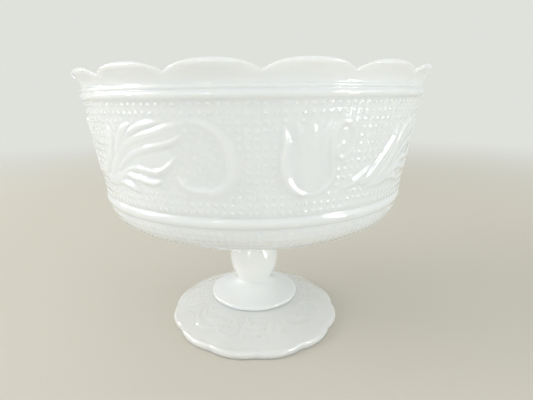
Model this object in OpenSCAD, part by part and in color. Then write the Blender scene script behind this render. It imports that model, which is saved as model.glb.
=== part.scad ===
// Footed glass fruit bowl: a deep bowl with a scalloped lip, joined through a glass wafer
// to a knopped stem, which stands on a scalloped foot that is hollow underneath.
// The origin is on the table, under the middle of the foot. The front is towards -Y.

/* [Bowl] */
// Diameter over the main ridge below the lip
bowl_d = 197; // [160:1:240]
// Height of the drum, from the groove over the belly up to the main ridge
drum_h = 57.5; // [44:0.5:72]
// How far the drum widens on each side on its way up
drum_flare = 8; // [4:0.2:14]
// Height of the rounded belly below the groove
belly_h = 25; // [18:0.5:34]
// Glass thickness of the drum
bowl_wall = 4.5; // [3:0.1:6.5]
// Glass thickness of the floor at its middle
floor_t = 6; // [4:0.1:9]

/* [Lip] */
// Height from the main ridge to the scallop tops
lip_h = 13; // [11:0.5:18]
// How far the lip stands out past the main ridge
lip_flare = 3; // [1:0.1:6]
// Glass thickness of the lip
lip_t = 3.6; // [2.4:0.1:4.4]
// Number of scallops round the lip
scallops = 16; // [10:1:24]
// Height of a scallop over the notches beside it
scallop_rise = 4.2; // [2:0.1:6]
// Turn of the lip's scallops against the foot's
lip_turn = 2.25; // [0:0.25:20]

/* [Mouldings] */
// Radius of the main ridge
ridge_r = 2.2; // [1.6:0.1:2.6]
// How far the main ridge stands out of the drum
ridge_out = 1.6; // [0.8:0.1:1.6]
// Radius of the thin ridge over it
thin_ridge_r = 0.9; // [0.6:0.1:1.4]
// Height of the half-round moulding at the foot of the drum
base_moulding_h = 5.6; // [4:0.2:7]
// How far that moulding stands out
base_moulding_out = 1.4; // [0.6:0.1:2]
// Depth of the groove between the moulding and the belly
groove = 0.9; // [0.5:0.1:1.5]

/* [Stem] */
// Height of the stem, from the foot to the wafer
stem_h = 46; // [38:0.5:60]
// Diameter of the knop
knop_d = 32.2; // [26:0.2:44]
// Diameter of the neck under the knop
neck_d = 22.6; // [18:0.2:25]
// Diameter of the stem's top face
stem_top_d = 26; // [22:0.5:30]
// Diameter of the collar that the stem flares into
collar_d = 58.8; // [48:0.2:72]
// Thickness of the collar's edge
collar_t = 2.4; // [1.6:0.1:4]
// Height of the neck over the foot
neck_h = 11.2; // [9:0.2:14]

/* [Wafer] */
// Diameter of the wafer between the stem and the bowl
wafer_d = 30; // [27:0.5:34]
// Thickness of the wafer
wafer_t = 3; // [2:0.1:5]
// Height of the boss under the bowl
boss_h = 2; // [1:0.1:4]
// Diameter of that boss
boss_d = 26; // [22:0.5:30]

/* [Foot] */
// Diameter over the foot's scallops
foot_d = 114; // [92:1:140]
// Height of the foot at the seat of the collar
foot_h = 15.5; // [13:0.5:20]
// Number of scallops round the foot
foot_scallops = 12; // [8:1:16]
// Depth of the notches between them
foot_notch = 1.7; // [0.8:0.1:2.4]
// Radius of the foot's rounded edge
foot_edge_r = 2.6; // [2:0.1:3.4]
// Glass thickness over the hollow
foot_wall = 5.5; // [4:0.1:7]
// Width of the ring that the foot stands on
rest_w = 4.5; // [3:0.5:8]

/* [Hidden] */
$fn = 96;
curve_steps = 12;  // segments in each curved stretch of an outline
past = 4;          // how far a cutter reaches past what it cuts
belly_power = 2.3; // 2 would be an ellipse: more gives a fuller belly
drum_power = 1.3;  // 1 would be a straight cone: more hollows the drum a little

// Heights, from the table up
wafer_z = foot_h + stem_h;
boss_z = wafer_z + wafer_t;
belly_z = boss_z + boss_h;
floor_z = belly_z + floor_t;
groove_z = belly_z + belly_h;
moulding_z = groove_z + base_moulding_h;
ridge_z = groove_z + drum_h;
thin_ridge_z = ridge_z + ridge_r + thin_ridge_r;
top_z = ridge_z + lip_h;

// Radii of the bowl
drum_top_r = bowl_d / 2 - ridge_out;
drum_low_r = drum_top_r - drum_flare;
belly_r = drum_low_r - groove;
inner_low_r = drum_low_r - bowl_wall;
inner_top_r = drum_top_r - bowl_wall;
tip_r = bowl_d / 2 + lip_flare;
lip_edge_r = lip_t / 2;

// Radii of the stem and foot
collar_r = collar_d / 2;
seat_r = collar_r + 0.8;
foot_r = foot_d / 2;
notch_r = foot_r - foot_notch;

// Points on a cubic curve with two handles, without its first point
function bend(p, q, r, s, n = curve_steps) =
    [for (i = [1 : n]) let (t = i / n, u = 1 - t)
        u * u * u * p + 3 * u * u * t * q + 3 * u * t * t * r + t * t * t * s];

// Points up a belly of radius r and depth h, from the distance x0 to its full radius at height z
function belly_curve(x0, r, h, z, n = curve_steps) =
    [for (i = [0 : n]) let (x = r * cos(acos(x0 / r) * (1 - i / n)))
        [x, z - h * pow(1 - pow(min(x / r, 1), belly_power), 1 / belly_power)]];

// Points up the drum's wall, moved in by the inset
function drum_curve(low, high, inset, n = 7) =
    [for (i = [0 : n]) let (s = i / n)
        [drum_low_r + drum_flare * pow(s, drum_power) - inset, low + (high - low) * s]];

// The same points from the last to the first
function reversed(points) = [for (i = [len(points) - 1 : -1 : 0]) points[i]];

// The moulding at the foot of the drum: the part of a disc that stands out of the wall
module moulding_profile() {
    disc_r = (pow(base_moulding_h / 2, 2) + pow(base_moulding_out, 2)) / (2 * base_moulding_out);
    intersection() {
        translate([drum_low_r + base_moulding_out - disc_r, groove_z + base_moulding_h / 2])
            circle(r = disc_r);
        translate([drum_low_r - 1, groove_z]) square([base_moulding_out + 2, base_moulding_h]);
    }
}

module bowl_profile() {
    lip_low = [drum_top_r, thin_ridge_z];
    lip_tip = [tip_r - lip_edge_r, top_z - lip_edge_r];
    lip_mid = [drum_top_r + 0.3 * (tip_r - drum_top_r), (lip_low[1] + lip_tip[1]) / 2];
    polygon(concat(
        [[0, boss_z], [boss_d / 2, boss_z]],
        belly_curve(boss_d / 2, belly_r, belly_h, groove_z),
        [[drum_low_r, groove_z]],
        drum_curve(moulding_z, ridge_z, 0),
        [lip_low, lip_mid, lip_tip + [lip_edge_r, 0], lip_tip - [lip_edge_r, 0]],
        [[inner_top_r, thin_ridge_z]],
        reversed(drum_curve(moulding_z, ridge_z, bowl_wall)),
        reversed(belly_curve(wafer_d / 2, inner_low_r, moulding_z - floor_z, moulding_z)),
        [[0, floor_z]]
    ));
    moulding_profile();
    translate([bowl_d / 2 - ridge_r, ridge_z]) circle(r = ridge_r);
    translate([drum_top_r, thin_ridge_z]) circle(r = thin_ridge_r);
    translate(lip_tip) circle(r = lip_edge_r);
}

// What is cut from the lip at one notch: the space over two neighbouring arches.
// Their crowns pass just over the lip, so its round edge survives at each scallop's top.
module notch_cut(arch_r, half_width) {
    crown = top_z + 0.2;
    difference() {
        translate([-half_width, top_z - scallop_rise])
            square([2 * half_width, scallop_rise + past]);
        for (side = [-1, 1])
            translate([side * half_width, crown - arch_r]) circle(r = arch_r);
    }
}

module bowl() {
    half_width = tip_r * tan(180 / scallops);
    arch_r = (half_width * half_width + scallop_rise * scallop_rise) / (2 * scallop_rise);
    color("whitesmoke")
        difference() {
            rotate_extrude() bowl_profile();
            for (i = [0 : scallops - 1])
                rotate([90, 0, lip_turn + 360 / scallops * i])
                    translate([0, 0, inner_top_r - past])
                        linear_extrude(tip_r - inner_top_r + 2 * past)
                            notch_cut(arch_r, half_width);
        }
}

module wafer() {
    color("ghostwhite")
        translate([0, 0, wafer_z])
            rotate_extrude() {
                square([wafer_d / 2 - wafer_t / 2, wafer_t]);
                translate([wafer_d / 2 - wafer_t / 2, wafer_t / 2]) circle(r = wafer_t / 2);
            }
}

module stem() {
    collar_edge = [collar_r - collar_t / 2, foot_h + collar_t / 2];
    neck = [neck_d / 2, foot_h + neck_h];
    knop = [knop_d / 2, foot_h + stem_h * 0.58];
    waist = [min(neck_d, stem_top_d) / 2 + 0.4, wafer_z - 4];
    top = [stem_top_d / 2, wafer_z];
    color("white")
        rotate_extrude() {
            polygon(concat(
                [[0, foot_h], [collar_edge[0], foot_h], collar_edge + [0, collar_t / 2]],
                bend(collar_edge + [0, collar_t / 2], [collar_r * 0.8, neck[1] - 5.5],
                    neck + [3, -5], neck),
                bend(neck, neck + [1.8, 5], knop - [0, 6.5], knop),
                bend(knop, knop + [0, 6.5], waist + [0.6, -5], waist),
                bend(waist, waist + [0, 1.6], top - [0, 1.2], top, 5),
                [[0, top[1]]]
            ));
            translate(collar_edge) circle(r = collar_t / 2);
        }
}

// The foot's scalloped outline: the lobes' circles meet at the notches
module foot_outline() {
    pitch = 360 / foot_scallops;
    lobe_at = (foot_r * foot_r - notch_r * notch_r)
        / (2 * (foot_r - notch_r * cos(pitch / 2)));
    for (i = [0 : foot_scallops - 1])
        rotate(pitch * (i + 0.5) - 90)
            translate([lobe_at, 0]) circle(r = foot_r - lobe_at);
}

// The foot before its edge is scalloped: a disc with a round edge, rising to the collar's seat
module foot_profile() {
    rim = [foot_r + 0.4 - foot_edge_r, foot_edge_r];
    shoulder = rim + [-1, foot_edge_r];
    square([rim[0] + foot_edge_r, rim[1]]);
    translate(rim) circle(r = foot_edge_r);
    polygon(concat(
        [[0, 0], [rim[0], 0], rim + [0, foot_edge_r]],
        bend(shoulder, shoulder + [-6, 3.2], [seat_r + 8, foot_h - 0.6], [seat_r, foot_h]),
        [[0, foot_h]]
    ));
}

module foot_hollow() {
    hollow_r = notch_r - rest_w;
    hollow_h = foot_h - foot_wall;
    translate([0, 0, -past])
        rotate_extrude()
            polygon(concat(
                [[0, 0], [hollow_r, 0], [hollow_r, past]],
                bend([hollow_r, past], [hollow_r - 5, past + hollow_h * 0.6],
                    [seat_r, past + hollow_h], [neck_d / 2, past + hollow_h]),
                [[0, past + hollow_h]]
            ));
}

module foot() {
    color("snow")
        difference() {
            intersection() {
                rotate_extrude() foot_profile();
                linear_extrude(foot_h + past) foot_outline();
            }
            foot_hollow();
        }
}

foot();
stem();
wafer();
bowl();
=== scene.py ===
# %% [markdown]
# # A footed bowl in opal glass
# The real bowl is pressed: a gob of milky glass is squeezed between a patterned mould and a smooth
# plunger. So the outside is crisp with beads and leaves, the inside is plain, and every edge is softened
# by the fire polish that follows. This lesson builds it in that order: plain turned walls first, then the
# pattern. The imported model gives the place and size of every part, and nothing here moves them.

# %% The frame and its sizes
from math import atan2, cos, hypot, radians, sin, sqrt, tau

import bmesh
import bpy
import numpy as np
from mathutils import Matrix, Vector


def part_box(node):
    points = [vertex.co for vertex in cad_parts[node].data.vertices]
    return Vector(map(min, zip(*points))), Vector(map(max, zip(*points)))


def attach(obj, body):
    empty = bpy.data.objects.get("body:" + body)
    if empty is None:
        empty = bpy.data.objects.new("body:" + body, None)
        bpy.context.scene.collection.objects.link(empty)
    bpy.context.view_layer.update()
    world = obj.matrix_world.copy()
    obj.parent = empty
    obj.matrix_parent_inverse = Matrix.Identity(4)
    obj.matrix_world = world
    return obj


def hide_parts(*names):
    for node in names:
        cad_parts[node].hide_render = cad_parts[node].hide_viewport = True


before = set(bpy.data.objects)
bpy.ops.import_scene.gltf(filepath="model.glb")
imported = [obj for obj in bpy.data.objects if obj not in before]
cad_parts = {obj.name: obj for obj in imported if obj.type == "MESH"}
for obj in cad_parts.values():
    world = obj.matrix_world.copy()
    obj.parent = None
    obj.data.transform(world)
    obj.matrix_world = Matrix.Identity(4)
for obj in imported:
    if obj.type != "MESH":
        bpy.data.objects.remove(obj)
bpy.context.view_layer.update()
MM = 0.001  # everything below is worked out in millimetres and scaled by this at the end


def box_mm(node):
    low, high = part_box(node)
    return low / MM, high / MM


bowl_low, bowl_high = box_mm("bowl")
wafer_low, wafer_high = box_mm("wafer")
stem_low, stem_high = box_mm("stem")
foot_low, foot_high = box_mm("foot")
print("bowl", [round(v) for v in bowl_high - bowl_low], "foot", [round(v) for v in foot_high - foot_low])

# %% [markdown]
# ## The camera
# The bowl is seen from close by, a little above its rim, so the belly hides the top of the stem and the
# rim opens into a narrow oval. A camera is a matrix: three columns for right, up and backwards, and its
# place.

# %% The camera
camera_place = Vector((0, -245.6, 147.5)) * MM
camera_pitch = radians(15.04)
camera_roll = radians(-0.77)
field_width = 533 / 381.6  # how wide the view is at a distance of 1


def camera_matrix(place, pitch, roll):
    forward = Vector((0, cos(pitch), -sin(pitch)))
    right = Vector((1, 0, 0))
    up = right.cross(forward)
    turned_right = right * cos(roll) + up * sin(roll)
    turned_up = up * cos(roll) - right * sin(roll)
    columns = Matrix((turned_right, turned_up, -forward)).transposed()
    return Matrix.Translation(place) @ columns.to_4x4()


camera = bpy.data.objects.new("camera", bpy.data.cameras.new("camera"))
bpy.context.collection.objects.link(camera)
bpy.context.scene.camera = camera
camera.matrix_world = camera_matrix(camera_place, camera_pitch, camera_roll)
camera.data.sensor_width = 36
camera.data.lens = camera.data.sensor_width / field_width
camera.data.shift_x = 0.025
camera.data.clip_start = 0.02
print("lens", round(camera.data.lens, 2), "mm")

# %% [markdown]
# ## Shader maths as expressions
# A shader's nodes could be added and linked one by one, but sums and products are far easier to read as
# plain expressions. So a small class wraps a socket, and adding or multiplying two of them adds a Math
# node. One method makes any other node from its settings and its sockets.

# %% Shader expressions
class Field:
    """A node socket that can be added, multiplied and so on, like a number."""

    def __init__(self, tree, socket):
        self.tree = tree
        self.socket = socket

    def node(self, kind, settings=(), **sockets):
        """Any node: its type, its settings, and the values or links of its sockets."""
        made = self.tree.nodes.new(kind)
        for name, value in dict(settings).items():
            setattr(made, name, value)
        for name, value in sockets.items():
            spot = made.inputs[int(name[1:])] if name[0] == "_" else made.inputs[name.replace("_", " ")]
            if isinstance(value, Field):
                self.tree.links.new(value.socket, spot)
            else:
                spot.default_value = value
        return made

    def maths(self, operation, *values):
        sockets = {f"_{i}": value for i, value in enumerate(values)}
        made = self.node("ShaderNodeMath", {"operation": operation}, **sockets)
        return Field(self.tree, made.outputs[0])

    def __add__(self, other):
        return self.maths("ADD", self, other)

    def __sub__(self, other):
        return self.maths("SUBTRACT", self, other)

    def __rsub__(self, other):
        return self.maths("SUBTRACT", other, self)

    def __mul__(self, other):
        return self.maths("MULTIPLY", self, other)

    __radd__ = __add__
    __rmul__ = __mul__

    def ramp(self, low, high):
        """0 below low, 1 above high and smooth between."""
        settings = {"interpolation_type": "SMOOTHSTEP"}
        made = self.node("ShaderNodeMapRange", settings, Value=self, From_Min=low, From_Max=high)
        return Field(self.tree, made.outputs[0])


def object_place(tree):
    """The place on the piece, in metres."""
    return Field(tree, tree.nodes.new("ShaderNodeTexCoord").outputs["Object"])


def stretched(place, scale):
    made = place.node("ShaderNodeMapping", Vector=place, Scale=scale)
    return Field(place.tree, made.outputs[0])


def noise(place, scale, detail=2.0, stretch=(1, 1, 1)):
    made = place.node("ShaderNodeTexNoise", Vector=stretched(place, stretch), Scale=scale, Detail=detail)
    return Field(place.tree, made.outputs["Fac"])


def mixed(amount, first, second):
    made = amount.node("ShaderNodeMix", {"data_type": "RGBA"}, _0=amount, _6=first, _7=second)
    return Field(amount.tree, made.outputs[2])


def bumped(height, distance, strength, under=None):
    sockets = {"Height": height, "Distance": distance, "Strength": strength}
    if under is not None:
        sockets["Normal"] = under
    made = height.node("ShaderNodeBump", **sockets)
    return Field(height.tree, made.outputs[0])


# %% [markdown]
# ## Floor, window light and room light
# Polished glass shows its shape through reflections. Two tall windows on the left and one on the right
# give the small bright marks on the beads and the streaks along the leaves, and an even pale room fills
# the rest. A window strong enough for a crisp streak would overlight the white body, so the windows reach
# only glossy rays and the wide soft lights do the rest. A low card and a small lamp add a few marks.

# %% The floor
fade_r = 1 / 0.7  # the floor has faded out just before this distance, in metres


def stage_floor(width):
    """A plain floor that fades into the room, so that there is no hard horizon."""
    bm = bmesh.new()
    bmesh.ops.create_grid(bm, x_segments=1, y_segments=1, size=width / 2)
    mesh = bpy.data.meshes.new("floor")
    bm.to_mesh(mesh)
    bm.free()
    floor = bpy.data.objects.new("floor", mesh)
    bpy.context.collection.objects.link(floor)
    material = bpy.data.materials.new("pale_floor")
    material.use_nodes = True
    shader = material.node_tree.nodes["Principled BSDF"]
    shader.inputs["Base Color"].default_value = (0.68, 0.645, 0.58, 1)
    shader.inputs["Roughness"].default_value = 0.9
    shader.inputs["Specular IOR Level"].default_value = 0
    tree = material.node_tree
    place = stretched(object_place(tree), (1 / fade_r, 1 / fade_r, 1 / fade_r))
    nearness = place.node("ShaderNodeTexGradient", {"gradient_type": "SPHERICAL"}, Vector=place)
    solid = Field(tree, nearness.outputs["Fac"]).ramp(0.1, 0.75)
    tree.links.new(solid.socket, shader.inputs["Alpha"])
    mesh.materials.append(material)


stage_floor(8)

# %% The lights
look_at = Vector((0, 0, 0.1))


def window_light(name, azimuth, height, distance, size, watts, only_gloss=False, tint=(1, 1, 1)):
    """A lit rectangle. Azimuth 0 is the front and 90 is on the right, and size is its width and height."""
    spot = Vector((sin(radians(azimuth)), -cos(radians(azimuth)), 0)) * distance
    spot.z = height
    data = bpy.data.lights.new(name, "AREA")
    data.shape = "RECTANGLE"
    data.size, data.size_y = size
    data.energy = watts
    data.color = tint
    light = bpy.data.objects.new(name, data)
    bpy.context.collection.objects.link(light)
    light.visible_diffuse = not only_gloss
    light.visible_camera = False
    aim = look_at - spot
    light.matrix_world = Matrix.Translation(spot) @ aim.to_track_quat("-Z", "Y").to_matrix().to_4x4()


for name, azimuth, height, distance, size, watts in (
    ("window_left", -78, 0.82, 2.0, (0.26, 0.9), 20),
    ("window_back_left", -110, 0.82, 2.0, (0.22, 0.9), 15),
    ("window_right", 57, 0.82, 2.0, (0.22, 0.8), 14),
    ("card_right", 57, 0.12, 0.5, (0.06, 0.18), 0.6),
    ("lamp_front", -26, 0.7, 2.0, (0.12, 0.3), 4),
):
    window_light(name, azimuth, height, distance, size, watts, only_gloss=True)
for name, azimuth, height, distance, size, watts, tint in (
    ("soft_left", -82, 0.7, 1.2, (0.9, 0.6), 6.5, (1, 1, 1)),
    ("soft_right", 65, 0.45, 1.4, (0.9, 0.7), 3.4, (0.88, 0.96, 1)),
    ("room_fill", -10, 0.5, 1.6, (2.0, 0.9), 3.2, (0.95, 0.98, 1)),
    ("low_fill", 28, 0.1, 1.0, (0.4, 0.16), 0.32, (0.8, 0.93, 1)),
):
    window_light(name, azimuth, height, distance, size, watts, tint=tint)
bpy.context.scene.view_settings.view_transform = "Standard"

world = bpy.data.worlds.new("room")
bpy.context.scene.world = world
world.use_nodes = True
world.node_tree.nodes["Background"].inputs["Color"].default_value = (0.74, 0.755, 0.715, 1)
world.node_tree.nodes["Background"].inputs["Strength"].default_value = 1.0

# %% [markdown]
# ## Turning a shape
# Bowl, stem, wafer and foot are all round, so each starts as an outline of radius and height that is spun
# round the axis. Curved stretches of an outline come from two helpers: an arc, and a bend with two
# handles.

# %% Outlines and spinning
def arc(centre_r, centre_z, radius, start, end, steps):
    angles = [radians(start + (end - start) * i / steps) for i in range(steps + 1)]
    return [(centre_r + radius * cos(a), centre_z + radius * sin(a)) for a in angles]


def bend(p, q, r, s, steps):
    """Points on a cubic curve from p to s with the handles q and r, without p."""
    points = []
    for i in range(1, steps + 1):
        t = i / steps
        u = 1 - t
        weights = (u * u * u, 3 * u * u * t, 3 * u * t * t, t * t * t)
        points.append(tuple(sum(w * c[k] for w, c in zip(weights, (p, q, r, s))) for k in (0, 1)))
    return points


def spun(outline, steps):
    """A closed bmesh from an outline that starts and ends on the axis."""
    bm = bmesh.new()
    bm.faces.layers.int.new("fine")
    verts = [bm.verts.new((r, 0, z)) for r, z in outline]
    edges = [bm.edges.new(pair) for pair in zip(verts, verts[1:])]
    bmesh.ops.spin(
        bm, geom=verts + edges, cent=(0, 0, 0), axis=(0, 0, 1), dvec=(0, 0, 0),
        angle=tau, steps=steps, use_merge=True, use_normal_flip=False, use_duplicate=False,
    )
    bmesh.ops.remove_doubles(bm, verts=bm.verts, dist=1e-4)
    bmesh.ops.recalc_face_normals(bm, faces=bm.faces)
    bm.normal_update()
    return bm


def place_piece(bm, name, material, slot, *nodes):
    """Scales a finished bmesh to metres, makes it an object under the root body and hides the imported parts
    it stands in for.
    """
    bmesh.ops.recalc_face_normals(bm, faces=bm.faces)
    bmesh.ops.scale(bm, vec=(MM, MM, MM), verts=bm.verts)
    for face in bm.faces:
        face.smooth = True
    mesh = bpy.data.meshes.new(name)
    bm.to_mesh(mesh)
    open_edges = sum(1 for edge in bm.edges if not edge.is_manifold)
    bm.free()
    piece = bpy.data.objects.new(name, mesh)
    bpy.context.collection.objects.link(piece)
    mesh.materials.append(material)
    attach(piece, "root")
    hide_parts(*nodes)
    mesh.calc_loop_triangles()
    print(name, len(mesh.loop_triangles), "triangles,", open_edges, "open edges")


def parts_of(faces, kind):
    """The edges or verts of some faces, each once and always in the same order."""
    return list(dict.fromkeys(part for face in faces for part in getattr(face, kind)))


def azimuth_of(co):
    """Degrees round the axis from the front, positive towards the right."""
    return np.degrees(atan2(co.x, -co.y))


# %% [markdown]
# ## Opal glass
# Opal glass is milky all through: light enters, scatters on tiny crystals and leaves a few millimetres
# away, so relief looks soft and thin edges glow. That is subsurface scattering under a hard, glossy skin.
# Slow swirls of denser milk change its colour, and the mould leaves the skin very slightly wavy. The
# glass that stands on the table, the lowest millimetre, has been rubbed dull.

# %% The glass
def opal_glass(name, thin, dense, scatter):
    """Milky glass between two colours. Scatter is how far light travels in it, in metres."""
    material = bpy.data.materials.new(name)
    material.use_nodes = True
    tree = material.node_tree
    shader = tree.nodes["Principled BSDF"]
    place = object_place(tree)
    swirl = noise(place, 14, 3, stretch=(1, 1, 0.45))
    milk = noise(place, 55, 2)
    colour = mixed((swirl * 0.75 + milk * 0.25).ramp(0.35, 0.65), thin, dense)
    smudge = noise(place, 38, 4).ramp(0.45, 0.75)
    haze = noise(place, 420, 2)
    height = Field(tree, place.node("ShaderNodeSeparateXYZ", Vector=place).outputs["Z"])
    worn = 1 - height.ramp(0.0002, 0.001)
    waves = noise(place, 90, 1)
    grain = noise(place, 900, 2)
    skin = bumped(waves, 0.00035, 0.35)
    skin = bumped(grain, 0.00002, 0.35, under=skin)
    tree.links.new(colour.socket, shader.inputs["Base Color"])
    tree.links.new((smudge * 0.05 + haze * 0.02 + worn * 0.35 + 0.02).socket, shader.inputs["Roughness"])
    tree.links.new(skin.socket, shader.inputs["Normal"])
    shader.inputs["IOR"].default_value = 1.52
    shader.inputs["Subsurface Weight"].default_value = 1.0
    shader.inputs["Subsurface Radius"].default_value = (1.0, 0.95, 0.88)
    shader.inputs["Subsurface Scale"].default_value = scatter
    return material


# The three parts are one and the same glass. The stem's lighter, bluer colour is painted light, and the
# darker bowl and foot colours are painted shade, standing in for how much light reaches each part.
bowl_glass = opal_glass("bowl_opal_glass", (0.78, 0.80, 0.815, 1), (0.82, 0.84, 0.855, 1), 0.008)
stem_glass = opal_glass("stem_opal_glass", (0.90, 0.97, 0.995, 1), (0.93, 0.99, 1.0, 1), 0.006)
foot_glass = opal_glass("foot_opal_glass", (0.76, 0.757, 0.743, 1), (0.81, 0.807, 0.797, 1), 0.008)
print(len(bpy.data.materials), "materials")

# %% [markdown]
# ## The bowl, turned
# The wall is one closed outline: out along the belly, up the drum and over its mouldings, round the lip
# and back down the inside. The drum and the belly are cut into square cells, one for each bead of the
# pattern, so that the pattern can be raised from these faces and the bowl stays a single watertight skin.

# %% Sizes of the bowl
lip_tip_r = bowl_high.x
top_z = bowl_high.z
boss_z = bowl_low.z
boss_r = 13
ridge_z = top_z - 13
groove_z = ridge_z - 57.5
drum_top_r = lip_tip_r - 4.6
drum_flare = 8
drum_low_r = drum_top_r - drum_flare
drum_power = 1.3
belly_r = drum_low_r - 0.9
belly_h = 25
belly_power = 2.3
bowl_wall = 4.5
floor_z = boss_z + 8
lip_t = 3.6
scallops = 16
scallop_rise = 4.2
scallop_turn = 2.25
columns = 160
rows = 14
row_h = 3.54
first_row_z = ridge_z - 3.8
rows_top_z = ridge_z - 2.16
rows_low_z = first_row_z - (rows - 0.5) * row_h


def drum_radius(z):
    share = min(max((z - groove_z) / (ridge_z - groove_z), 0), 1)
    return drum_low_r + drum_flare * share ** drum_power


def belly_point(angle, radius=belly_r, depth=belly_h, top=groove_z):
    """A point of the belly's curve: 0 degrees at its edge and 90 on the axis."""
    share = cos(radians(angle))
    drop = (1 - share ** belly_power) ** (1 / belly_power)
    return radius * share, top - depth * drop


# %% [markdown]
# ## Cells down the belly
# Cells that are as tall as they are wide make round beads. The belly narrows on its way down, so its rows
# get lower too, and the curve is walked in small steps that mark a row each time a cell's width has been
# covered.

# %% Cells down the belly
def belly_rows(first_gap, stop_r):
    """Points down the belly, each as far from the last as a cell there is wide."""
    points = []
    angle = 0.0
    travelled = 0.0
    r, z = belly_point(angle)
    wanted = first_gap
    while r > stop_r:
        angle += 0.02
        next_r, next_z = belly_point(angle)
        travelled += hypot(next_r - r, next_z - z)
        r, z = next_r, next_z
        if travelled >= wanted:
            points.append((r, z))
            travelled = 0.0
            wanted = tau * r / columns
    return points


belly_cells = belly_rows(first_gap=1.2, stop_r=63)
print(len(belly_cells) - 1, "rows of beads on the belly, down to radius", round(belly_cells[-1][0], 1))

# %% [markdown]
# ## The whole outline
# The outline starts and ends on the axis, so the spin closes it. It is written in the order a finger
# would follow it: boss, belly, groove, moulding, drum, two ridges, lip, then down the inside to the
# floor.

# %% The bowl's outline
lip_base_z = ridge_z + 4
lip_edge_r = lip_t / 2
lip_edge_z = top_z - lip_edge_r


def flare_at(z):
    """How far the lip has flared out by that height."""
    share = max((z - lip_base_z) / (lip_edge_z - lip_base_z), 0)
    return (lip_tip_r - drum_top_r) * min(share, 1) ** 1.7


def bowl_outline():
    boss = [(0, boss_z), (boss_r, boss_z), (boss_r + 0.6, boss_z + 0.8)]
    last_r, last_z = belly_cells[-1]
    under = [p for p in (belly_point(a) for a in range(88, 40, -5)) if boss_r + 2 < p[0] < last_r - 1.5]
    hem = [(last_r - 1.6, last_z - 0.9), (last_r - 0.8, last_z - 0.95)]
    cells = belly_cells[::-1]
    groove = [(belly_r + 0.02, groove_z - 0.15), (belly_r + 0.3, groove_z + 0.3)]
    base = arc(drum_low_r - 2.6, groove_z + 2.9, 3.67, -46, 46, 8)
    drum = [(drum_radius(z), z) for z in [rows_low_z + row_h * i for i in range(rows)] + [rows_top_z]]
    ridge = arc(drum_top_r - 0.9, ridge_z, 2.2, -58, 62, 9)
    thin_ridge = arc(drum_top_r - 0.1, ridge_z + 2.9, 0.9, -40, 75, 6)
    heights = [lip_base_z + (lip_edge_z - lip_base_z) * i / 6 for i in range(6)]
    lip_out = [(drum_top_r + flare_at(z), z) for z in heights]
    edge = arc(lip_tip_r - lip_edge_r, lip_edge_z, lip_edge_r, 0, 180, 8)
    inner_top = (drum_top_r - bowl_wall, ridge_z + 1)
    lip_in = bend(edge[-1], (edge[-1][0] - 1.6, edge[-1][1] - 3.4),
                  (inner_top[0] + 0.2, inner_top[1] + 3.5), inner_top, 7)
    wall_in = [(drum_radius(z) - bowl_wall, z) for z in np.linspace(ridge_z - 4, groove_z + 8, 5)]
    inner_r = drum_low_r - bowl_wall
    inner_top_z = groove_z + 5
    floor = [belly_point(a, inner_r, inner_top_z - floor_z, inner_top_z) for a in range(4, 90, 7)]
    outside = boss + under + hem + cells + groove + base + drum + ridge + thin_ridge + lip_out + edge
    return outside + lip_in + wall_in + floor + [(0, floor_z)]


bowl = spun(bowl_outline(), columns)
print("turned bowl:", len(bowl.faces), "faces")

# %% [markdown]
# ## Reading the wall as a flat pattern
# The relief is easier to draw flat. The drum is unrolled: x is the distance round the wall in
# millimetres, y is the height above the table. The motif repeats four times round the bowl. A stroke is a
# curved path with a width and a height that swell and fade along it, as a mould cutter's tool would leave
# it.

# %% Strokes
drum_ref_r = 92
repeats = 4
repeat_w = tau * drum_ref_r / repeats


def smooth_path(points, steps=8):
    """A Catmull-Rom curve through the points."""
    pts = [np.array(p, float) for p in points]
    pts = [2 * pts[0] - pts[1]] + pts + [2 * pts[-1] - pts[-2]]
    path = []
    for a, b, c, d in zip(pts, pts[1:], pts[2:], pts[3:]):
        for t in np.arange(steps) / steps:
            path.append(0.5 * (2 * b + (c - a) * t + (2 * a - 5 * b + 4 * c - d) * t * t
                               + (3 * b - 3 * c + d - a) * t ** 3))
    return np.array(path + [pts[-2]])


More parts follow.
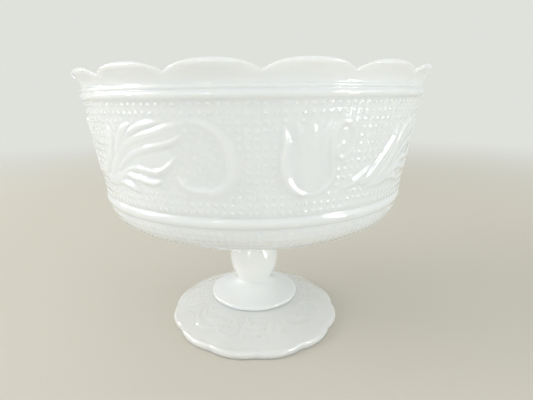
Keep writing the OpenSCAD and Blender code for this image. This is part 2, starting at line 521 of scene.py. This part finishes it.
class Stroke:
    """A ridge along a path, widest at the share `peak` of its length.

    A `blunt` below 1 keeps the ends full. `groove` cuts a midrib. A small `edge` gives a flat top with steep
    sides, and a large one is soft. `lean` moves the crest to the left of the path (below 0) or to its right,
    so that the other flank is a long ramp.
    """

    def __init__(self, points, width, height, peak=0.5, blunt=0.5, groove=0.0, edge=0.7, lean=0.0):
        self.path = smooth_path(points)
        lengths = np.hypot(*np.diff(self.path, axis=0).T)
        share = np.concatenate([[0], np.cumsum(lengths)]) / lengths.sum()
        warped = np.where(share < peak, share / peak * 0.5, 0.5 + (share - peak) / (1 - peak) * 0.5)
        swell = np.sin(np.pi * np.clip(warped, 0.001, 0.999)) ** blunt
        self.widths = width * swell
        self.heights = height * np.clip(swell * 1.3, 0, 1)
        self.groove = groove
        self.edge = edge
        self.lean = lean

    def nearest(self, x, y):
        """Signed distance to the path (right is positive), and the half width and height there."""
        best = np.full(x.shape, 1e9)
        side = np.ones(x.shape)
        width = np.zeros(x.shape)
        height = np.zeros(x.shape)
        for i in range(len(self.path) - 1):
            (ax, ay), (bx, by) = self.path[i], self.path[i + 1]
            span = (bx - ax) ** 2 + (by - ay) ** 2
            t = np.clip(((x - ax) * (bx - ax) + (y - ay) * (by - ay)) / span, 0, 1)
            gap = np.hypot(x - ax - t * (bx - ax), y - ay - t * (by - ay))
            closer = gap < best
            best = np.where(closer, gap, best)
            turn = (x - ax) * (by - ay) - (y - ay) * (bx - ax)
            side = np.where(closer, np.where(turn < 0, -1.0, 1.0), side)
            width = np.where(closer, (1 - t) * self.widths[i] + t * self.widths[i + 1], width)
            height = np.where(closer, (1 - t) * self.heights[i] + t * self.heights[i + 1], height)
        return best * side, width, height

    def relief(self, x, y):
        gap, width, height = self.nearest(x, y)
        across = np.clip(gap / np.maximum(width, 0.05), -1, 1)
        if self.lean:
            from_crest = across - self.lean
            reach = np.where(from_crest * self.lean > 0, 1 - abs(self.lean), 1 + abs(self.lean))
            share = np.clip(np.abs(from_crest) / reach, 0, 1)
            crown = np.where(from_crest * self.lean > 0, (1 - share ** 2) ** self.edge, 1 - share)
        else:
            crown = (1 - across ** 2) ** self.edge
        return height * (crown - self.groove * np.exp(-(across / 0.28) ** 2) * (np.abs(across) < 1))


# %% [markdown]
# ## The drum's motif
# From left to right: a plain column of beads, a calyx of petals with a crook that curls into an eye, a
# patch of beads, a rising blade and a big hooked leaf, a fan of long leaves, and a cup-shaped scroll that
# holds a tilted patch of beads. It is a stock scrolling-leaf border, drawn from a few points for each
# stroke.

# %% Strokes of the drum
drum_strokes = [
    # the calyx: its floor, outer petal and three inner petals
    Stroke([(24.5, 108), (24.3, 122), (24.3, 136)], 9.5, 0.35, 0.45, 0.35, edge=0.35),
    Stroke([(26, 106.9), (18.8, 109), (14.9, 114.5), (13.4, 122), (13.8, 129), (12.1, 137)],
           2.5, 1.75, 0.45, 0.45, lean=-0.4),
    Stroke([(21.6, 118), (20.6, 124), (19.4, 131), (16.9, 139)], 2.1, 0.85, 0.6, 0.7, 0.2, edge=0.9),
    Stroke([(24.4, 119), (24.3, 126), (24, 132), (23.7, 139.2)], 1.9, 0.75, 0.6, 0.7, 0.2, edge=0.9),
    Stroke([(28.2, 118), (29, 124), (30, 131), (32.3, 139.4)], 2.1, 0.85, 0.6, 0.7, 0.2, edge=0.9),
    # the crook and its eye
    Stroke([(24, 106.9), (30.5, 108.1), (34.6, 112.6), (35.2, 119), (33.9, 126), (33.9, 132), (36.3, 136.9),
            (40.4, 137.3), (43.4, 133.6), (43.6, 128.6), (42, 124.2), (39.2, 122.2), (36.5, 123.6),
            (36.2, 126.6), (38.4, 128.3), (40.4, 127.2)], 1.8, 1.4, 0.35, 0.35, 0.15),
    Stroke([(38.3, 135.5), (39.6, 130.5), (38.8, 125)], 3.6, 0.25, 0.5, 0.4, edge=0.35),
    # the rising blade, and the hooked leaf with its lower and upper lobes
    Stroke([(40.3, 107.6), (46, 109.7), (51.8, 112.4), (57.6, 117.2)], 2.0, 1.25, 0.6, 0.6, 0.4),
    Stroke([(50.5, 108.2), (58.5, 112.8), (65, 118.6), (70.6, 125), (73.9, 130.3), (72.6, 134.8),
            (70, 134.2)],
           3.1, 1.7, 0.45, 0.5, 0.45),
    Stroke([(55, 108), (63, 109.2), (72, 110.6), (80, 113.5)], 3.4, 1.1, 0.5, 0.5, edge=0.35),
    Stroke([(62, 110), (69, 114.5), (75, 120.5), (79, 126.5)], 3.0, 1.2, 0.5, 0.5),
    # the fan of long leaves, from the top down
    Stroke([(74, 117), (78, 126.4), (83.6, 133.3), (90.4, 137.6)], 2.3, 1.4, 0.65, 0.6, 0.15),
    Stroke([(79.5, 125), (87, 132), (95.5, 136.2), (107.5, 138.6)], 1.6, 1.1, 0.6, 0.6),
    Stroke([(75, 116), (79.5, 123.8), (87, 129), (95.6, 131.7), (103, 133.7), (110, 136), (118.8, 138.2)],
           1.9, 1.25, 0.55, 0.5, 0.35),
    Stroke([(74, 113.6), (80.4, 119.4), (89, 124), (99, 127), (107, 128.7), (112, 130.5), (116.8, 133.7)],
           1.8, 1.45, 0.55, 0.5, 0.25),
    Stroke([(74, 112), (82.4, 115.8), (90.4, 117.3), (98.5, 116.4), (104, 117.3), (108.5, 120.3),
            (112, 124)],
           1.7, 1.4, 0.5, 0.5),
    Stroke([(74, 111), (81.5, 113.4), (88, 112.7), (94, 111.6), (99, 111.2), (104, 112.6)],
           1.8, 1.7, 0.55, 0.5),
    Stroke([(71, 108.6), (78.5, 109), (84, 107.6), (89, 105.6)], 1.9, 1.5, 0.55, 0.6),
    # low webs that join the long leaves
    Stroke([(77, 114), (88, 120.6), (100, 121.6), (110, 124.6)], 5.2, 0.5, 0.5, 0.4, edge=0.35),
    Stroke([(80, 122), (92, 128.6), (104, 131), (113, 134.6)], 3.4, 0.5, 0.5, 0.4, edge=0.35),
    Stroke([(64, 110), (72, 117), (80, 124), (90, 132)], 5.5, 0.6, 0.4, 0.4, edge=0.35),
    # the cup-shaped scroll
    Stroke([(117.5, 138.3), (124.5, 137.6), (130.6, 133.6), (134.9, 127.2), (136.4, 119), (134, 112),
            (128, 108.4), (120, 107.7), (114.4, 110.2), (111.9, 114.5)], 3.0, 0.95, 0.55, 0.5, edge=1.5),
    Stroke([(130, 109.4), (124, 108.2), (118, 108.6), (113.6, 111), (111.4, 115.5)],
           2.6, 1.5, 0.55, 0.6, lean=0.3),
]
cup_centre = (123.3, 121.6)
cup_half = (11.2, 13.2)
cup_tilt = radians(-27)
calyx_beads = [(19, 116.4), (22, 113.6), (25.2, 112.4), (28.2, 113.8), (30.6, 116.8), (38.7, 125.5)]
bead_r = 0.82
bead_h = 0.37
cut_bead_h = 0.52  # beads in the fine cells are sampled coarsely, so they are drawn taller
bead_room = 1.9  # a modelled bead keeps its whole cell, so a stroke's edge stays this far from its middle
drum_depth = 0.85  # the share of a stroke's drawn height that is cut into the drum


def in_cup(x, y):
    return np.hypot((x - cup_centre[0]) / cup_half[0], (y - cup_centre[1]) / cup_half[1]) < 1


def cup_beads(pitch=3.65):
    """A square grid of beads, tilted, that fills the cup."""
    beads = []
    for i in range(-4, 5):
        for j in range(-4, 5):
            dx, dy = i * pitch, j * pitch
            x = cup_centre[0] + dx * cos(cup_tilt) - dy * sin(cup_tilt)
            y = cup_centre[1] + dx * sin(cup_tilt) + dy * cos(cup_tilt)
            beads.append((x, y))
    return beads


def clearance(strokes, x, y):
    """Distance from each point to the edge of the nearest stroke: negative inside one."""
    closest = np.full(np.shape(x), 1e9)
    for stroke in strokes:
        gap, width, _ = stroke.nearest(x, y)
        closest = np.minimum(closest, np.abs(gap) - width)
    return closest


# %% [markdown]
# ## Sorting the cells
# A cell whose bead stands clear of every stroke gets a modelled bead. A cell that a stroke touches is cut
# into a fine grid and pushed out by the relief. All four repeats are alike, so each cell is looked up by
# its place within one repeat.

# %% Which cells hold what
def wrapped(azimuth):
    """Distance round the wall within one repeat."""
    return np.mod(radians(1) * azimuth * drum_ref_r, repeat_w)


def drum_cells(bm):
    """The faces of the drum's outer wall, with the place of each on the unrolled pattern."""
    cells = []
    for face in bm.faces:
        centre = face.calc_center_median()
        outside = hypot(centre.x, centre.y) > drum_radius(centre.z) - 1
        if not (outside and rows_low_z < centre.z < rows_top_z):
            continue
        row = min(round((first_row_z - centre.z) / row_h), rows - 1)
        cells.append((face, wrapped(azimuth_of(centre)), first_row_z - max(row, 0) * row_h))
    return cells


cells = drum_cells(bowl)
cell_x = np.array([x for face, x, y in cells])
cell_y = np.array([y for face, x, y in cells])
room = clearance(drum_strokes, cell_x, cell_y)
plain = room > bead_room
near = (room > bead_r) & ~plain
inside_cup = in_cup(cell_x, cell_y)
bead_faces = [c[0] for c, ok, cup in zip(cells, plain, inside_cup) if ok and not cup]
leaf_faces = [c[0] for c, ok, cup in zip(cells, plain, inside_cup) if not ok or cup]
print(len(cells), "cells on the drum:", len(bead_faces), "beads,", len(leaf_faces), "cut fine")

extra_beads = [(x, y) for x, y, ok, cup in zip(cell_x, cell_y, near, inside_cup) if ok and not cup]
extra_beads = sorted({(round(x, 3), round(y, 3)) for x, y in extra_beads})
tilted = np.array(cup_beads())
kept = (clearance(drum_strokes, *tilted.T) > bead_r * 0.8) & in_cup(*tilted.T)
extra_beads += [tuple(p) for p in tilted[kept]] + calyx_beads
print(int(kept.sum()), "tilted beads in each cup")


# %% [markdown]
# ## Raising a bead
# A bead could be a sphere set on the wall, but then wall and bead would be two skins and the milky glass
# would darken where they meet. So each bead is raised from one square face. Inset it, split its edges so
# that it has eight corners, push those out to a circle, then inset and lift it and close the top with a
# poke. That makes a round dome of only 16 faces, which matters because there are thousands of them.

# %% Beads from faces
def raise_beads(bm, faces, radius, height):
    cell = sqrt(faces[0].calc_area())
    square = 1.9 * radius  # its corners then lie outside the circle and its sides inside
    margin = (cell - square) / 2
    bmesh.ops.inset_individual(bm, faces=faces, thickness=margin, depth=0, use_even_offset=True)
    bmesh.ops.bisect_edges(bm, edges=parts_of(faces, "edges"), cuts=1)
    for face in faces:
        centre = face.calc_center_median()
        for vert in face.verts:
            arm = vert.co - centre
            arm -= face.normal * arm.dot(face.normal)
            vert.co = centre + arm.normalized() * radius
    shoulder = {"thickness": radius * 0.42, "depth": height * 0.8}
    bmesh.ops.inset_individual(bm, faces=faces, use_even_offset=True, **shoulder)
    bmesh.ops.poke(bm, faces=faces, offset=height * 0.2)


bowl.normal_update()
raise_beads(bowl, bead_faces, bead_r, bead_h)

# %% [markdown]
# ## Beads down the belly
# The belly's beads are the same, one row at a time, because each row has its own cell width. A mould
# wears and the glass cools fastest low down, so the rows get fainter towards the stem.

# %% Beads of the belly
belly_bead_r = 0.24  # a bead's radius and height are shares of its cell's width
belly_bead_h = 0.1
belly_fade = 0.02  # how much of that height is lost from row to row, and also the least that stays


def belly_faces(bm, high, low):
    found = []
    for face in bm.faces:
        centre = face.calc_center_median()
        in_row = low[1] < centre.z < high[1] and low[0] < hypot(centre.x, centre.y) < high[0]
        if in_row and len(face.verts) == 4:
            found.append(face)
    return found


bowl.normal_update()
for row, (high, low) in enumerate(zip(belly_cells, belly_cells[1:])):
    width = tau * (high[0] + low[0]) / 2 / columns
    height = max(belly_bead_h - belly_fade * row, belly_fade)
    raise_beads(bowl, belly_faces(bowl, high, low), radius=width * belly_bead_r, height=width * height)
    bowl.normal_update()
print("after the beads:", len(bowl.faces), "faces")

# %% [markdown]
# ## Pushing out the leaves
# A displacement modifier with a drawn height map could do this, but it would need an unwrapped wall and a
# very fine mesh all over. Here each point of the fine grid looks up its own height from the strokes and
# moves straight out by that much.

# %% Relief of the drum
def relief_height(strokes, depth, beads, x, y):
    height = np.zeros(x.shape)
    for stroke in strokes:
        height = np.maximum(height, depth * stroke.relief(x, y))
    for bead_x, bead_y in beads:
        share = np.hypot(x - bead_x, y - bead_y) / bead_r
        height = np.maximum(height, cut_bead_h * np.sqrt(np.clip(1 - share ** 2, 0, 1)))
    return height


def cut_fine(bm, faces, cuts):
    """Cuts the faces into a grid and returns its vertices. A layer marks them, as cuts make new faces."""
    mark = bm.faces.layers.int["fine"]
    for face in faces:
        face[mark] = 1
    bmesh.ops.subdivide_edges(bm, edges=parts_of(faces, "edges"), cuts=cuts, use_grid_fill=True)
    return parts_of([face for face in bm.faces if face[mark]], "verts")


leaf_verts = cut_fine(bowl, leaf_faces, cuts=4)
leaf_x = np.array([wrapped(azimuth_of(v.co)) for v in leaf_verts])
leaf_y = np.array([v.co.z for v in leaf_verts])
leaf_heights = relief_height(drum_strokes, drum_depth, extra_beads, leaf_x, leaf_y)
for vert, height in zip(leaf_verts, leaf_heights):
    outward = Vector((vert.co.x, vert.co.y, 0)).normalized()
    vert.co += outward * float(height)
print("relief up to", round(float(leaf_heights.max()), 2), "mm")

# %% [markdown]
# ## Scalloping the lip
# The lip was turned at its full height. Cutting its ring edges gives enough columns for round scallops,
# and then each point is lowered by an arch-shaped amount that grows towards the edge, so its round edge
# survives. A lowered point also moves in along the flare, which is why the notches sit inside the tips.

# %% The scallops
def scallop_drop(azimuth):
    """How far the edge lies under the tips: 0 at a tip's crown and the full rise at a notch."""
    share = np.mod((azimuth - scallop_turn) / (360 / scallops), 1)
    return scallop_rise * abs(2 * share - 1) ** 2.5


lip_edges = [
    e for e in bowl.edges
    if min(v.co.z for v in e.verts) > lip_base_z - 0.3 and abs(e.verts[0].co.z - e.verts[1].co.z) < 0.01
]
bmesh.ops.subdivide_edges(bowl, edges=lip_edges, cuts=2, use_grid_fill=True)
for vert in bowl.verts:
    share = (vert.co.z - lip_base_z) / (top_z - lip_base_z)
    if share <= 0:
        continue
    lowered = vert.co.z - scallop_drop(azimuth_of(vert.co)) * share ** 1.2
    radius = hypot(vert.co.x, vert.co.y)
    pull = (radius - flare_at(vert.co.z) + flare_at(lowered)) / radius
    vert.co = Vector((vert.co.x * pull, vert.co.y * pull, lowered))

place_piece(bowl, "glass_bowl", bowl_glass, "bowl_glass", "bowl")

# %% [markdown]
# ## The wafer
# The wafer is the button of hot glass that joined bowl and stem: it was squeezed, so its edge is round.
# It could be a bevelled cylinder, but a spun outline gives the full round edge in one go.

# %% The wafer
wafer_r = wafer_high.x
wafer_t = wafer_high.z - wafer_low.z
wafer_edge = arc(wafer_r - wafer_t / 2, wafer_low.z + wafer_t / 2, wafer_t / 2, -90, 90, 12)
wafer_outline = [(0, wafer_low.z)] + wafer_edge + [(0, wafer_high.z)]
place_piece(spun(wafer_outline, 96), "glass_wafer", stem_glass, "stem_glass", "wafer")

# %% [markdown]
# ## The stem
# The stem is a knop over a hollow-sided dome that ends in a collar. It could be built from a cylinder and
# a few loop cuts, but curves with handles keep the knop full and the dome hollow, and the spin does the
# rest.

# %% The stem
collar_r = stem_high.x
collar_t = 3.2
neck = (11.3, stem_low.z + 11.2)
knop = (16.1, stem_low.z + 0.58 * (stem_high.z - stem_low.z))
waist = (11.7, stem_high.z - 4)
stem_top = (13, stem_high.z)


def stem_outline():
    edge = arc(collar_r - collar_t / 2, stem_low.z + collar_t / 2, collar_t / 2, -90, 90, 10)
    dome = bend(edge[-1], (collar_r * 0.8, neck[1] - 5.5), (neck[0] + 3, neck[1] - 5), neck, 20)
    lower = bend(neck, (neck[0] + 1.8, neck[1] + 5), (knop[0], knop[1] - 6.5), knop, 16)
    upper = bend(knop, (knop[0], knop[1] + 6.5), (waist[0] + 0.6, waist[1] - 5), waist, 16)
    crown = bend(waist, (waist[0], waist[1] + 1.6), (stem_top[0], stem_top[1] - 1.2), stem_top, 6)
    return [(0, stem_low.z)] + edge + dome + lower + upper + crown + [(0, stem_high.z)]


place_piece(spun(stem_outline(), 128), "glass_stem", stem_glass, "stem_glass", "stem")

# %% [markdown]
# ## The foot
# The foot is a shallow disc, hollow underneath, that stands on a narrow ring. Its top carries the same
# ground of beads with leaf scrolls. It is turned like the bowl, with one ring of cells for each row of
# beads.

# %% Sizes of the foot
foot_columns = 72
foot_lobes = 12
foot_tip_r = foot_high.x * 1.016  # the tips stand between the axes, so the box is a little narrower
foot_notch_r = foot_tip_r - 1.7
foot_top_z = foot_high.z
foot_edge_r = 2.6
foot_rings = [33.0 + 3.85 * i for i in range(5)]
seat_r = collar_r + 0.8
hollow_start_r = 11.3
foot_ref_r = 42
foot_repeat_w = tau * foot_ref_r / repeats
foot_depth = 0.45
foot_bead_r = 0.8
foot_bead_h = 0.34
foot_spare_room = 0.9  # how close to a stroke a bead in a fine cell may come


def foot_height(r):
    """Height of the foot's top at a radius: it falls to the rim in an easy curve."""
    share = min(max((r - seat_r) / (foot_tip_r - foot_edge_r - seat_r), 0), 1)
    return foot_top_z - (foot_top_z - 2 * foot_edge_r) * (0.75 * share + 0.25 * share * share)


def foot_outline():
    hollow_r = foot_notch_r - 4.5
    roof_z = foot_top_z - 5.5
    hollow = bend((hollow_start_r, roof_z), (seat_r, roof_z), (hollow_r - 4, 5.2), (hollow_r, 0.7), 14)
    rest = [(hollow_r + 0.35, 0.2), (hollow_r + 0.9, 0), (foot_tip_r - 1.5, 0), (foot_tip_r - 0.5, 0.25)]
    edge = arc(foot_tip_r - foot_edge_r, foot_edge_r, foot_edge_r, -20, 90, 9)
    border_ends = (foot_tip_r - foot_edge_r - 0.8, foot_rings[-1] + 0.8)
    border = [(r, foot_height(r)) for r in np.linspace(*border_ends, 3)]
    slope = [(r, foot_height(r)) for r in foot_rings[::-1]]
    seat = [(seat_r + 0.5, foot_height(seat_r + 0.5)), (seat_r - 0.4, foot_top_z)]
    under = [(0, roof_z), (hollow_start_r, roof_z)] + hollow + rest
    return under + edge + border + slope + seat + [(0, foot_top_z)]


foot = spun(foot_outline(), foot_columns)
print("turned foot:", len(foot.faces), "faces")

# %% [markdown]
# ## The foot's scrolls
# The foot repeats the bowl's border in a smaller, simpler form, with one pair of scrolls and three blades
# in each quarter. The same strokes draw it. Only the pattern's place is found from the angle and the
# radius.

# %% Strokes of the foot
def polar(points):
    """Pattern points from degrees round the foot and radius."""
    return [(radians(a) * foot_ref_r, r) for a, r in points]


foot_strokes = [
    Stroke(polar([(24, 34.5), (29, 41.5), (37, 46), (47, 47), (57, 44.5)]), 1.7, 1.0, 0.5, 0.5, 0.3),
    Stroke(polar([(27, 34), (34, 38.6), (42, 41.4), (51, 41)]), 1.5, 0.9, 0.5, 0.5),
    Stroke(polar([(47, 35), (55, 34.4), (64, 34.5), (72, 37.5), (74.5, 42.5), (69.5, 46.8), (62, 46.6),
                  (58, 42.5), (61, 39), (65.5, 40.3)]), 1.5, 1.0, 0.5, 0.45, 0.2),
    Stroke(polar([(22, 34.5), (17, 38), (12.5, 42.5), (9, 47.5)]), 1.9, 1.0, 0.55, 0.6, 0.3),
    Stroke(polar([(24, 36), (21, 41), (18.5, 47)]), 1.5, 0.9, 0.6, 0.6),
    Stroke(polar([(86, 35), (81, 39), (79, 43), (80, 47.5)]), 1.5, 0.9, 0.6, 0.6, 0.2),
]

# %% [markdown]
# ## Raising the foot's pattern
# The cells are sorted as on the drum: clear ones get a modelled bead, the others are cut fine and lifted.
# The lift is straight up, as the mould for a foot opens upwards.

# %% Beads and relief of the foot
def foot_cells(bm):
    found = []
    for face in bm.faces:
        centre = face.calc_center_median()
        radius = hypot(centre.x, centre.y)
        on_top = centre.z > foot_height(radius) - 1
        if on_top and foot_rings[0] < radius < foot_rings[-1] and len(face.verts) == 4:
            found.append(face)
    return found


def foot_place(co):
    return np.mod(radians(azimuth_of(co)) * foot_ref_r, foot_repeat_w), hypot(co.x, co.y)


foot_faces = foot_cells(foot)
foot_spots = np.array([foot_place(f.calc_center_median()) for f in foot_faces])
foot_room = clearance(foot_strokes, *foot_spots.T)
foot_beads = [f for f, gap in zip(foot_faces, foot_room) if gap > bead_room]
foot_fine = [f for f, gap in zip(foot_faces, foot_room) if gap <= bead_room]
spare = [tuple(p) for p, gap in zip(foot_spots, foot_room) if foot_spare_room < gap <= bead_room]
foot.normal_update()
raise_beads(foot, foot_beads, foot_bead_r, foot_bead_h)
foot_verts = cut_fine(foot, foot_fine, cuts=7)
foot_xy = np.array([foot_place(v.co) for v in foot_verts])
for vert, height in zip(foot_verts, relief_height(foot_strokes, foot_depth, spare, *foot_xy.T)):
    vert.co.z += float(height)
print(len(foot_beads), "beads and", len(foot_fine), "fine cells on the foot")

# %% [markdown]
# ## The foot's lobes
# Each lobe is a piece of a circle whose middle stands off the axis. The round rim was turned first, and
# now its points are pulled in to the lobes, fully at the edge and less and less towards the beads.

# %% Scallops of the foot
lobe_half = 180 / foot_lobes
notch_x = foot_notch_r * cos(radians(lobe_half))
lobe_at = (foot_tip_r ** 2 - foot_notch_r ** 2) / (2 * (foot_tip_r - notch_x))
lobe_r = foot_tip_r - lobe_at


def lobe_radius(azimuth):
    """Radius of the foot's edge: the lobes are circles whose middles stand off the axis."""
    off = radians((azimuth % (2 * lobe_half)) - lobe_half)
    return lobe_at * cos(off) + sqrt(lobe_r ** 2 - (lobe_at * sin(off)) ** 2)


rim_edges = [
    e for e in foot.edges
    if min(hypot(v.co.x, v.co.y) for v in e.verts) > foot_rings[-1] + 0.5
    and abs(hypot(*e.verts[0].co.xy) - hypot(*e.verts[1].co.xy)) < 0.01
    and abs(e.verts[0].co.z - e.verts[1].co.z) < 0.01
]
bmesh.ops.subdivide_edges(foot, edges=rim_edges, cuts=3, use_grid_fill=True)
for vert in foot.verts:
    radius = hypot(vert.co.x, vert.co.y)
    share = (radius - foot_rings[-1]) / (foot_tip_r - foot_rings[-1])
    if share <= 0:
        continue
    pull = 1 - (1 - lobe_radius(azimuth_of(vert.co)) / foot_tip_r) * share ** 1.5
    vert.co = Vector((vert.co.x * pull, vert.co.y * pull, vert.co.z))

place_piece(foot, "glass_foot", foot_glass, "foot_glass", "foot")
